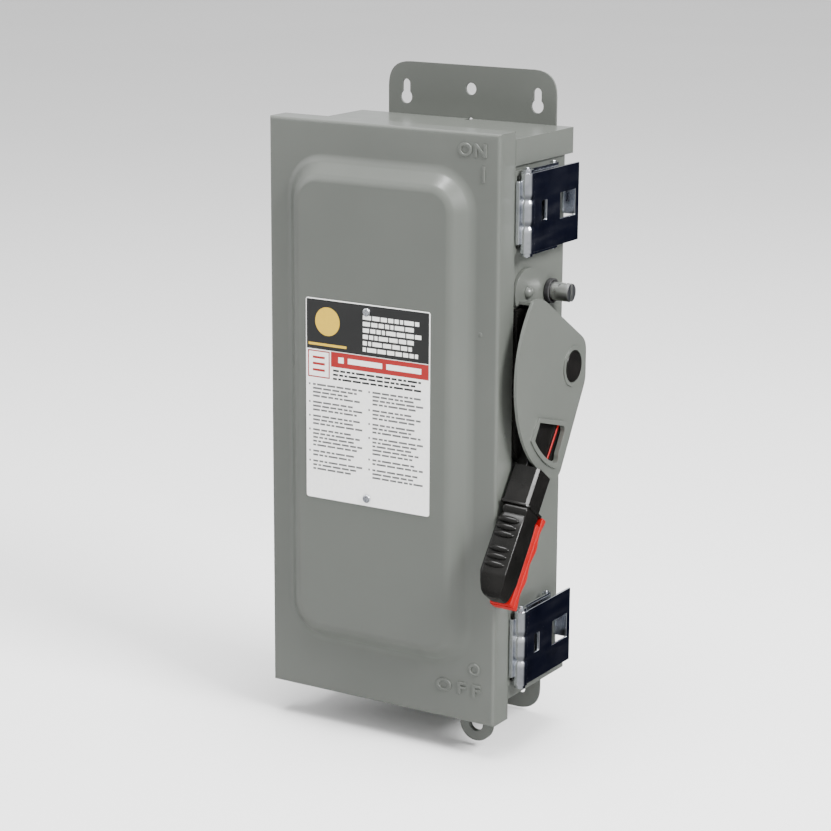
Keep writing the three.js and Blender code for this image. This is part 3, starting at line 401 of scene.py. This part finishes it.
def door_sheet():
    """The door pressed from one sheet: a raised panel, flanges turned back, and the sheet's thickness."""
    front, rim_ring, base_bevel, crest_bevel, rim_bevel = door["front"], 5 * MM, 3.4 * MM, 3.2 * MM, 2.2 * MM
    rim = wall_rectangle("door_sheet", door["left"], door["right"], door["bottom"], door["top"], front)
    pick(rim, "faces", lambda f: True)
    bpy.ops.mesh.inset(thickness=rim_ring)
    bpy.ops.mesh.delete(type="FACE")
    margin = 6 * MM
    panel = wall_rectangle(
        "door_panel", door["left"] + PANEL["left"] - margin, door["right"] - PANEL["right"] + margin,
        door["bottom"] + PANEL["bottom"] - margin, door["top"] - PANEL["top"] + margin, front)
    pick(panel, "verts", lambda v: True)
    bpy.ops.mesh.bevel(offset=PANEL["corner"] + margin, segments=12, affect="VERTICES")
    pick(panel, "faces", lambda f: True)
    bpy.ops.mesh.inset(thickness=margin)
    bpy.ops.mesh.inset(thickness=PANEL["slope"], depth=PANEL_RISE)
    join(rim, panel)
    pick(rim, "edges", lambda e: e.is_boundary and not on_rim(e))
    bpy.ops.mesh.fill()
    bpy.ops.mesh.select_all(action="SELECT")
    bpy.ops.mesh.normals_make_consistent(inside=False)
    pick(rim, "edges", lambda e: not on_front(e) and near(middle(e).y, front - PANEL_RISE))
    bpy.ops.mesh.bevel(offset=crest_bevel, segments=5, affect="EDGES")
    pick(rim, "edges", lambda e: on_front(e) and e.calc_face_angle(0) > 0.4)
    bpy.ops.mesh.bevel(offset=base_bevel, segments=5, affect="EDGES")
    pick(rim, "edges", lambda e: e.is_boundary and on_rim(e))
    bpy.ops.mesh.extrude_region_move(TRANSFORM_OT_translate={"value": (0, FLANGE, 0)})
    pick(rim, "edges", lambda e: on_front(e) and e.calc_face_angle(0) > 0.7)
    bpy.ops.mesh.bevel(offset=rim_bevel, segments=4, affect="EDGES")
    edit(rim)
    bpy.ops.mesh.select_all(action="SELECT")
    bpy.ops.mesh.normals_make_consistent(inside=False)
    modify(rim, "SOLIDIFY", thickness=SHEET, offset=-1, use_even_offset=True)
    smooth(rim, 30)
    return finish(rim, "door", "paint", enamel, "door_pan")


def latch_keeper(name, z):
    """A tab of the door's flange, with the slot that the latch hooks into."""
    half = 25 * MM
    keeper = block(name, (side - SHEET, door["rear"] - MM, z - half),
                   (side, door["rear"] + 8.5 * MM, z + half))
    pick(keeper, "faces", lambda f: abs(f.normal.x) > 0.9)
    bpy.ops.mesh.inset(thickness=3.15 * MM)
    bpy.ops.mesh.bridge_edge_loops()
    round_edges(keeper, 0.25 * MM)
    smooth(keeper)
    return finish(keeper, "door", "paint", enamel)


def hasp_ear():
    """The door's padlock ear: a round-ended tab below the bottom flange."""
    x, y = side - 22 * MM, door["rear"] - SHEET / 2
    z = pan_low.z + 11.5 * MM
    ear = start("cylinder", "door_hasp_ear", vertices=48, radius=11.5 * MM, depth=SHEET, rotation=UPRIGHT,
                location=(x, y, z))
    root = door["bottom"] + SHEET
    pick(ear, "verts", lambda v: v.co.z > z + 1e-5)
    bpy.ops.transform.resize(value=(1, 1, 0), center_override=(x, y, root))
    hole = start("cylinder", "hasp_hole", vertices=40, radius=5 * MM, depth=20 * MM, rotation=UPRIGHT,
                 location=(x, y, z))
    modify(ear, "BOOLEAN", operation="DIFFERENCE", object=hole, solver="EXACT")
    bpy.data.objects.remove(hole)
    round_edges(ear, 0.35 * MM, 3)
    smooth(ear)
    return finish(ear, "door", "paint", enamel)


def pressed_mark(name, letters, low, high, spacing=1.15):
    """Letters pressed out of the door's sheet, fitted between two corners of its front."""
    clear()
    bpy.ops.object.text_add(rotation=UPRIGHT)
    text = bpy.context.active_object
    text.data.body = letters
    text.data.size = 10 * MM
    text.data.extrude = 0.5 * MM
    text.data.bevel_depth = 0.4 * MM
    text.data.bevel_resolution = 2
    text.data.space_character = spacing
    bpy.ops.object.convert(target="MESH")
    bpy.ops.object.transform_apply(location=True, rotation=True, scale=True)
    text = bpy.context.active_object
    text.name = text.data.name = name
    corners = [Vector(corner) for corner in text.bound_box]
    left, right = min(c.x for c in corners), max(c.x for c in corners)
    bottom, top = min(c.z for c in corners), max(c.z for c in corners)
    text.scale = ((high[0] - low[0]) * MM / (right - left), 1, (high[1] - low[1]) * MM / (top - bottom))
    text.location = (low[0] * MM - left * text.scale.x, door["front"] + 0.05 * MM,
                     low[1] * MM - bottom * text.scale.z)
    bpy.ops.object.transform_apply(location=True, rotation=True, scale=True)
    edit(text)
    bpy.ops.mesh.select_all(action="SELECT")
    bpy.ops.mesh.remove_doubles(threshold=1e-6)
    smooth(text, 50)
    return finish(text, "door", "paint", enamel)


def pressed_spot(name, place, across):
    """A small round mark left by a weld behind the sheet."""
    spot = start("uv_sphere", name, segments=24, ring_count=12, radius=1, location=place,
                 scale=[radius * MM for radius in across])
    smooth(spot, 80)
    return finish(spot, "door", "paint", enamel)


door_sheet()
for name in ("upper", "lower"):
    low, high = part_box(name + "_latch_lever")
    latch_keeper(name + "_latch_keeper", (low.z + high.z) / 2)
hasp_ear()
pressed_mark("mark_on", "ON", (45, -20.4), (64.6, -12.2), 1.2)
pressed_mark("mark_on_bar", "I", (61.7, -35), (63.5, -25.4))
pressed_mark("mark_off_ring", "O", (55.8, -342.8), (64, -334.6))
pressed_mark("mark_off", "OFF", (32.5, -356.4), (64.6, -348.2), 1.6)
pressed_spot("front_spot", (61.3 * MM, door["front"], -126.7 * MM), (1.5, 0.35, 1.5))
pressed_spot("flange_spot", (side, -82.4 * MM, -189.3 * MM), (0.35, 1.5, 1.5))


# ---- Label ----

white_film = printed("white_film", (0.86, 0.86, 0.84))
black_ink = printed("black_ink", (0.01, 0.01, 0.01))
red_ink = printed("red_ink", (0.3, 0.003, 0.003))
grey_ink = printed("grey_ink", (0.1, 0.1, 0.1))
amber_ink = printed("amber_ink", (0.62, 0.4, 0.02))
OVERPRINT = 0.06 * MM


def label_film():
    width, height = label_high.x - label_low.x, label_high.z - label_low.z
    film = block("label_film", label_low, label_high)
    thickness = label_high.y - label_low.y
    pick(film, "edges", lambda e: near((e.verts[0].co - e.verts[1].co).length, thickness, 1e-5))
    bpy.ops.mesh.bevel(offset=1.5 * MM, segments=5, affect="EDGES")
    smooth(film)
    return finish(film, "door", "label", white_film, "label_plate")


def ink(name, material, bars, lift=0.03 * MM):
    """Printed areas: the left, right, low and high of each, in millimetres from the label's top left."""
    y = label_low.y - lift
    made = []
    for left, right, low, high in bars:
        made.append(wall_rectangle(name, label_low.x + left * MM, label_low.x + right * MM,
                                   label_high.z + low * MM, label_high.z + high * MM, y))
    printed_area = join(made[0], *made[1:])
    printed_area.name = printed_area.data.name = name
    return finish(printed_area, "door", "label", material)


def text_lines(left, right, top, lines, pitch, weight, seed, ragged=0.3):
    """Rows of short bars that stand for words."""
    bars = []
    for row in range(lines):
        z = top - row * pitch
        end = right - (right - left) * ragged * ((row * 7 + seed * 3) % 5) / 5
        x = left
        word = row + seed
        while x < end - 1.5:
            length = 2.2 + (word * 13 % 7) * 0.75
            bars.append((x, min(x + length, end), z - weight, z))
            x += length + 0.9
            word += 1
    return bars


label_film()
ink("label_header", black_ink, [(0.6, 89.4, -32, -0.6)])
emblem = start("circle", "label_emblem", vertices=48, radius=9 * MM, fill_type="NGON", rotation=UPRIGHT,
               location=(label_low.x + 16 * MM, label_low.y - OVERPRINT, label_high.z - 14 * MM))
finish(emblem, "door", "label", amber_ink)
ink("label_emblem_rule", amber_ink, [(2, 30, -29.6, -28)], OVERPRINT)
ink("label_title", white_film, text_lines(42, 84, -7, 6, 4, 2.6, 2, 0.2), OVERPRINT)
ink("label_band", red_ink, [(18.5, 89.4, -42, -32.4)])
ink("label_band_words", white_film,
    [(24, 28, -39, -35.4), (31, 56, -38.9, -35.5), (59, 84, -38.9, -35.5)], OVERPRINT)
ink("label_frame", red_ink, [
    (1.4, 17.6, -33.6, -32.8), (1.4, 17.6, -50, -49.2), (1.4, 2.2, -50, -32.8), (16.8, 17.6, -50, -32.8),
    (5, 14, -38, -36.5), (5, 14, -42, -40.5), (5, 14, -46, -44.5),
])
ink("label_subtitle", black_ink, text_lines(20, 88, -43.6, 3, 2.6, 1.3, 4, 0.15))
small = []
for column, left in enumerate((5, 49)):
    top = -54
    for paragraph, rows in enumerate((4, 3, 3, 5, 2, 3)):
        small += text_lines(left, left + 37, top, rows, 2.45, 1.2, paragraph + 2 * column)
        small.append((left - 3, left - 1.8, top - 1.2, top))
        top -= rows * 2.45 + 1.5
ink("label_small_print", grey_ink, small)


def label_screw(node):
    """A domed screw head with a cross recess."""
    low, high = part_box(node)
    x, z, radius = (low.x + high.x) / 2, (low.z + high.z) / 2, (high.x - low.x) / 2
    head = start("cylinder", node + "_head", vertices=32, radius=radius, depth=high.y - low.y,
                 rotation=UPRIGHT, location=(x, (low.y + high.y) / 2, z))
    pick(head, "faces", lambda f: f.normal.y < -0.9)
    bpy.ops.mesh.bevel(offset=0.7 * MM, segments=4)
    cross = [block("recess", (x - a, low.y - MM, z - b), (x + a, low.y + 0.7 * MM, z + b))
             for a, b in ((1.7 * MM, 0.35 * MM), (0.35 * MM, 1.7 * MM))]
    for cutter in cross:
        modify(head, "BOOLEAN", operation="DIFFERENCE", object=cutter, solver="EXACT")
        bpy.data.objects.remove(cutter)
    smooth(head, 30)
    return finish(head, "door", "zinc", zinc, node)


label_screw("label_screw_upper")
label_screw("label_screw_lower")


# ---- Latches ----

def crimped_knuckle(name):
    """The lever's rolled front edge, pinched in two places about the pin."""
    low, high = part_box(name + "_latch_front_pin")
    lever_low, lever_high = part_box(name + "_latch_lever")
    x, y = (low.x + high.x) / 2, (low.y + high.y) / 2
    height = lever_high.z - lever_low.z
    z = (lever_low.z + lever_high.z) / 2
    roll = start("cylinder", name + "_latch_knuckle", vertices=28, radius=4.4 * MM, depth=height,
                 location=(x, y, z))
    pick(roll, "edges", lambda e: near(abs(e.verts[0].co.z - e.verts[1].co.z), height))
    bpy.ops.mesh.subdivide(number_cuts=35)
    for k in (-1, 1):
        for reach, pinch in ((2.2 * MM, 0.9), (1 * MM, 0.84)):
            pick(roll, "verts", lambda v: abs(v.co.z - z - k * height / 6) < reach)
            bpy.ops.transform.resize(value=(pinch, pinch, 1), center_override=(x, y, z))
    pick(roll, "faces", lambda f: abs(f.normal.z) > 0.9)
    bpy.ops.mesh.inset(thickness=1.1 * MM)
    bpy.ops.transform.resize(value=(1, 1, 0.97), center_override=(x, y, z))
    smooth(roll, 50)
    return finish(roll, name + "_latch_lever", "zinc", zinc)


crimped_knuckle("upper")
crimped_knuckle("lower")


# ---- Grip ----

def along_handle(piece):
    """Turn a piece drawn upwards from the hub until it points along the resting handle."""
    take(piece)
    piece.rotation_euler = (math.radians(144), 0, 0)
    piece.location = (0, hub.y, hub.z)
    bpy.ops.object.transform_apply(location=True, rotation=True, scale=True)


GRIP = {"low": side + 2.4 * MM, "rear": -7.6 * MM, "front": 14.6 * MM, "start": 97 * MM}
# Distance from the hub and the size there, as a share of the full section.
GRIP_STATIONS = (
    (98.5, 0.9), (100, 0.96), (102, 0.97), (104.5, 0.9), (107, 0.95), (113, 0.99), (124, 1.0), (143.5, 1.0),
    (145, 0.975), (150, 0.88), (154, 0.78), (156.5, 0.64),
)


def moulded_grip():
    """The grip: a section drawn along the handle, fuller in its middle and rounded at its end."""
    low, high = GRIP["low"], grip_high.x
    middle_x = (low + high) / 2
    grip = start("plane", "moulded_grip", size=1, scale=(high - low, GRIP["front"] - GRIP["rear"], 1),
                 location=(middle_x, (GRIP["front"] + GRIP["rear"]) / 2, GRIP["start"]))
    pick(grip, "verts", lambda v: v.co.x > middle_x and v.co.y > 0)
    bpy.ops.transform.translate(value=(0, -3 * MM, 0))
    pick(grip, "faces", lambda f: True)
    share = 0.84
    bpy.ops.transform.resize(value=(share, share, 1), center_override=(middle_x, GRIP["rear"], GRIP["start"]))
    reached = GRIP["start"]
    for r, wanted in GRIP_STATIONS:
        bpy.ops.mesh.extrude_region_move(TRANSFORM_OT_translate={"value": (0, 0, r * MM - reached)})
        scale = wanted / share
        bpy.ops.transform.resize(value=(scale, scale, 1), center_override=(middle_x, GRIP["rear"], r * MM))
        reached, share = r * MM, wanted
    bpy.ops.mesh.select_all(action="SELECT")
    bpy.ops.mesh.normals_make_consistent(inside=False)
    long_edge = lambda e: abs(e.verts[0].co.z - e.verts[1].co.z) > 0.5 * MM
    pick(grip, "edges", lambda e: long_edge(e) and middle(e).x > middle_x and middle(e).y > 0)
    bpy.ops.mesh.bevel(offset=1.3 * MM, segments=3)
    pick(grip, "edges", lambda e: long_edge(e) and e.calc_face_angle(0) > 0.8)
    bpy.ops.mesh.bevel(offset=3 * MM, segments=4)
    pick(grip, "edges", lambda e: near(middle(e).z, reached, 1e-5) and e.calc_face_angle(0) > 0.5)
    bpy.ops.mesh.bevel(offset=2 * MM, segments=4)
    along_handle(grip)
    smooth(grip, 40)
    return finish(grip, "handle", "black_plastic", black)


def grip_ribs():
    """Lens-shaped ribs across the grip's front face, in two groups."""
    ribs = []
    for r in (109.5, 114.3, 119, 128.5, 133.5, 138.5):
        ribs.append(start("uv_sphere", "rib", segments=32, ring_count=16, radius=1,
                          scale=(6.9 * MM, 2 * MM, 2.2 * MM), rotation=(0, 0, math.radians(-10)),
                          location=((GRIP["low"] + grip_high.x) / 2 - 0.6 * MM, 13 * MM, r * MM)))
    made = join(ribs[0], *ribs[1:])
    made.name = made.data.name = "grip_ribs"
    along_handle(made)
    smooth(made, 50)
    return finish(made, "handle", "black_plastic", black)


def handle_arm():
    """The arm, hub disc and neck, ending inside the grip."""
    arm = soften("handle_grip", black, 1.2 * MM, 3)
    cutter = block("cutter", (GRIP["low"] - 5 * MM, -0.05, 98.6 * MM), (grip_high.x + 5 * MM, 0.05, 0.2))
    along_handle(cutter)
    modify(arm, "BOOLEAN", operation="DIFFERENCE", object=cutter, solver="EXACT")
    bpy.data.objects.remove(cutter)


def insert_core():
    """The part of the red insert that is let into the grip's rear side."""
    core = block("insert_core", (GRIP["low"] + 2 * MM, -12 * MM, 103 * MM),
                 (side + 19.3 * MM, -7 * MM, 156.5 * MM))
    round_edges(core, 0.8 * MM, 3)
    along_handle(core)
    smooth(core)
    return finish(core, "handle", "red_plastic", red)


def red_insert():
    """The insert's hollowed rear side, without the plate under the grip's rounded end."""
    insert = soften("handle_red_insert", red, 0.9 * MM, 3)
    cutter = block("cutter", (GRIP["low"], -10 * MM, 140 * MM), (grip_high.x + 5 * MM, 0.05, 0.2))
    along_handle(cutter)
    modify(insert, "BOOLEAN", operation="DIFFERENCE", object=cutter, solver="EXACT")
    bpy.data.objects.remove(cutter)


handle_arm()
red_insert()
moulded_grip()
insert_core()
grip_ribs()


# ---- Floor, light and camera ----

def floor():
    ground = start("plane", "floor", size=60, location=(0, 0, cad_box[0].z - 0.002))
    f = Finish("pale_floor", roughness=0.8)
    f.colours(f.noise(2, 2), (0.3, (0.9, 0.9, 0.9)), (0.7, (0.92, 0.92, 0.92)))
    ground.data.materials.append(f.material)
    ground.visible_glossy = False


def soft_light(name, place, aim, width, power, colour=(1, 1, 1)):
    clear()
    bpy.ops.object.light_add(type="AREA", location=place)
    light = bpy.context.active_object
    light.name = name
    light.data.shape = "RECTANGLE"
    light.data.size, light.data.size_y = width
    light.data.energy = power
    light.data.color = colour
    light.rotation_euler = (Vector(aim) - Vector(place)).to_track_quat("-Z", "Y").to_euler()


def surroundings():
    """Pale all round and brighter above. Glossy rays alone see it half again as strong, with a dark patch low
    down behind the right side: a painted reflection that the camera and diffuse light never see.
    """
    world = bpy.data.worlds.new("studio")
    bpy.context.scene.world = world
    world.use_nodes = True
    nodes, links = world.node_tree.nodes, world.node_tree.links
    background = nodes["Background"]
    where = nodes.new("ShaderNodeTexCoord").outputs["Generated"]
    facing = nodes.new("ShaderNodeVectorMath")
    facing.operation = "DOT_PRODUCT"
    facing.inputs[1].default_value = Vector((0.6, 0.78, -0.16)).normalized()
    links.new(where, facing.inputs[0])
    ramp = nodes.new("ShaderNodeValToRGB")
    ramp.color_ramp.elements[0].position = 0.45
    ramp.color_ramp.elements[0].color = (0.75, 0.76, 0.77, 1)
    ramp.color_ramp.elements[1].position = 0.82
    ramp.color_ramp.elements[1].color = (0.012, 0.014, 0.03, 1)
    links.new(facing.outputs["Value"], ramp.inputs["Fac"])
    plain = nodes.new("ShaderNodeMix")
    plain.data_type = "RGBA"
    plain.inputs["B"].default_value = (0.93, 0.93, 0.93, 1)
    # Painted reflection: only glossy rays see the dark patch and the stronger sky; the camera and diffuse
    # rays see plain pale grey.
    glossy_ray = nodes.new("ShaderNodeLightPath").outputs["Is Glossy Ray"]
    swap = nodes.new("ShaderNodeMath")
    swap.operation = "SUBTRACT"
    swap.inputs[0].default_value = 1
    links.new(glossy_ray, swap.inputs[1])
    links.new(swap.outputs["Value"], plain.inputs["Factor"])
    links.new(ramp.outputs["Color"], [s for s in plain.inputs if s.name == "A" and s.type == "RGBA"][0])
    links.new([s for s in plain.outputs if s.type == "RGBA"][0], background.inputs["Color"])
    height = nodes.new("ShaderNodeMapRange")
    height.inputs["From Min"].default_value = -0.6
    height.inputs["From Max"].default_value = 0.6
    height.inputs["To Min"].default_value = 0.3
    height.inputs["To Max"].default_value = 1.3
    parts = nodes.new("ShaderNodeSeparateXYZ")
    links.new(where, parts.inputs[0])
    links.new(parts.outputs["Z"], height.inputs["Value"])
    gain = nodes.new("ShaderNodeMath")
    gain.operation = "MULTIPLY_ADD"
    gain.inputs[1].default_value = 0.45
    gain.inputs[2].default_value = 0.85
    links.new(glossy_ray, gain.inputs[0])
    strength = nodes.new("ShaderNodeMath")
    strength.operation = "MULTIPLY"
    links.new(gain.outputs["Value"], strength.inputs[0])
    links.new(height.outputs["Result"], strength.inputs[1])
    links.new(strength.outputs["Value"], background.inputs["Strength"])


def camera():
    eye = Vector((796.0, -1355.6, 184.5)) * MM
    bpy.ops.object.camera_add(location=eye)
    view = bpy.context.active_object
    view.data.lens = 108.16
    view.data.sensor_width = 36
    view.rotation_euler = (math.radians(90 - 13.88), 0, math.radians(31.68))
    view.rotation_euler.rotate_axis("Z", math.radians(0.30))
    bpy.context.scene.camera = view


floor()
surroundings()
soft_light("key_light", (2.2, -0.5, 1.5), (0, 0, -0.2), (1.0, 1.0), 175)
soft_light("left_light", (-1.8, -1.4, 0.7), (0, 0, -0.2), (1.2, 1.6), 10)
soft_light("top_light", (0.1, -0.2, 1.5), (0, 0, -0.1), (1.0, 1.0), 60)
camera()
